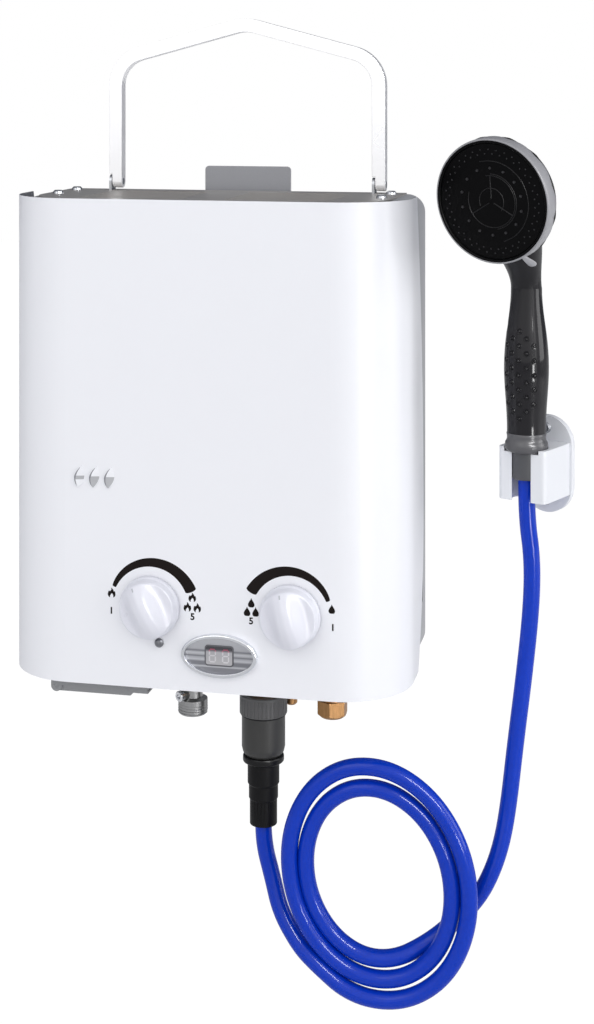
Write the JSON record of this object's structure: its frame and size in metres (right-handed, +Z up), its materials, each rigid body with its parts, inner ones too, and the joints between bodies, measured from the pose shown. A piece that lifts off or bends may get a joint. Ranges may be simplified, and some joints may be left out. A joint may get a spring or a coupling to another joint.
{
  "type": "portable propane water heater",
  "caption": "Wall-hung portable gas water heater with folding carrying handle, control knobs, quick-connect hose and hand shower in its holder.",
  "frame": {"origin": "centre of the wall-hook hole, on the rear face of the hanging bracket, which lies in the wall plane", "axes": "+X to the right of a person facing the heater, +Y out of the back towards the wall, +Z up"},
  "size_m": [0.399, 0.1468, 0.6937],
  "materials": {
    "cover_white": "gloss",
    "shell_grey": "satin",
    "bracket_grey": "satin",
    "dark_steel": "satin",
    "handle_silver": "satin",
    "screw_steel": "satin",
    "dark_screw": "gloss",
    "knob_white": "satin",
    "bright_chrome": "polished",
    "brushed_plate": "brushed",
    "window_clear": "gloss",
    "black_plastic": "matte",
    "galvanised": "satin",
    "nickel": "satin",
    "cast_alloy": "cast",
    "brass": "satin",
    "copper": "satin",
    "ceramic": "gloss",
    "battery_grey": "satin",
    "cell_label": "gloss",
    "rubber_black": "matte",
    "connector_grey": "satin",
    "hose_blue": "gloss",
    "charcoal": "satin",
    "ring_grey": "satin",
    "face_black": "gloss",
    "holder_white": "gloss"
  },
  "bodies": {
    "heater": {"front_cover": "cover_white", "rear_shell": "shell_grey", "top_grille": "dark_steel", "top_screws": "screw_steel", "bottom_plate": "galvanised", "hanging_bracket": "bracket_grey", "wall_spacers": "rubber_black", "handle_ears": "screw_steel", "handle_pivots": "screw_steel", "badge_bezel": "bright_chrome", "badge_plate": "brushed_plate", "display_window": "window_clear", "display_module": "black_plastic", "cover_screw": "dark_screw", "gas_valve": "cast_alloy", "water_valve": "cast_alloy", "diaphragm_housing": "cast_alloy", "microswitch": "black_plastic", "gas_inlet": "nickel", "gas_test_screw": "nickel", "water_inlet": "brass", "drain_plug": "brass", "hot_outlet": "brass", "gas_pipe": "copper", "gas_rail": "nickel", "burner_bars": "galvanised", "burner_frame": "galvanised", "combustion_chamber": "copper", "heat_exchanger": "copper", "flue_hood": "copper", "cold_pipe": "copper", "hot_pipe": "copper", "spark_electrode": "ceramic", "flame_sensor": "ceramic", "ignition_box": "black_plastic", "overheat_cutoff": "black_plastic", "tilt_switch": "black_plastic", "battery_box": "battery_grey", "battery_cells": "cell_label", "connector_body": "connector_grey", "hose_nut": "black_plastic", "hose_boot": "rubber_black", "hose_lead": "hose_blue", "hose_coil": "hose_blue", "hose_riser": "hose_blue", "holder_cradle": "holder_white", "holder_plate": "holder_white", "holder_screws": "screw_steel"},
    "handle": {"carry_handle": "handle_silver"},
    "gas_control": {"gas_knob": "knob_white", "gas_spindle": "nickel"},
    "water_control": {"water_knob": "knob_white", "water_spindle": "nickel"},
    "door": {"battery_door": "battery_grey"},
    "release_collar": {"connector_sleeve": "connector_grey"},
    "gas_push_rod": {"push_rod": "nickel"},
    "handset": {"handset_body": "charcoal", "handset_face": "face_black", "handset_collar": "ring_grey"},
    "spray_ring": {"selector_ring": "ring_grey"}
  },
  "joints": [
    {"name": "handle_fold", "type": "hinge", "parent": "heater", "child": "handle", "pos_m": [0, -0.017, 0.028], "axis": [1, 0, 0], "range_deg": [0, 88]},
    {"name": "gas_knob_turn", "type": "hinge", "parent": "heater", "child": "gas_control", "pos_m": [-0.0395, -0.125, -0.2615], "axis": [0, -1, 0], "range_deg": [-97, 34]},
    {"name": "water_knob_turn", "type": "hinge", "parent": "heater", "child": "water_control", "pos_m": [0.0605, -0.125, -0.2615], "axis": [0, -1, 0], "range_deg": [-83, 46]},
    {"name": "battery_door_swing", "type": "hinge", "parent": "heater", "child": "door", "pos_m": [-0.1165, -0.065, -0.3295], "axis": [0, 1, 0], "range_deg": [0, 100]},
    {"name": "collar_release", "type": "slide", "parent": "heater", "child": "release_collar", "axis": [0, 0, -1], "range_m": [0, 0.004], "stiffness_N_per_m": 800, "springref_m": -0.002},
    {"name": "push_rod_slide", "type": "slide", "parent": "heater", "child": "gas_push_rod", "axis": [-1, 0, 0], "range_m": [0, 0.0025], "stiffness_N_per_m": 400, "springref_m": -0.002},
    {"name": "handset_lift", "type": "slide", "parent": "heater", "child": "handset", "axis": [0, 0, 1], "range_m": [0, 0.035]},
    {"name": "spray_selector", "type": "hinge", "parent": "handset", "child": "spray_ring", "pos_m": [0.19496, -0.09102, 0.022], "axis": [-0.3869, -0.9115, -0.1392], "range_deg": [-60, 60]}
  ]
}
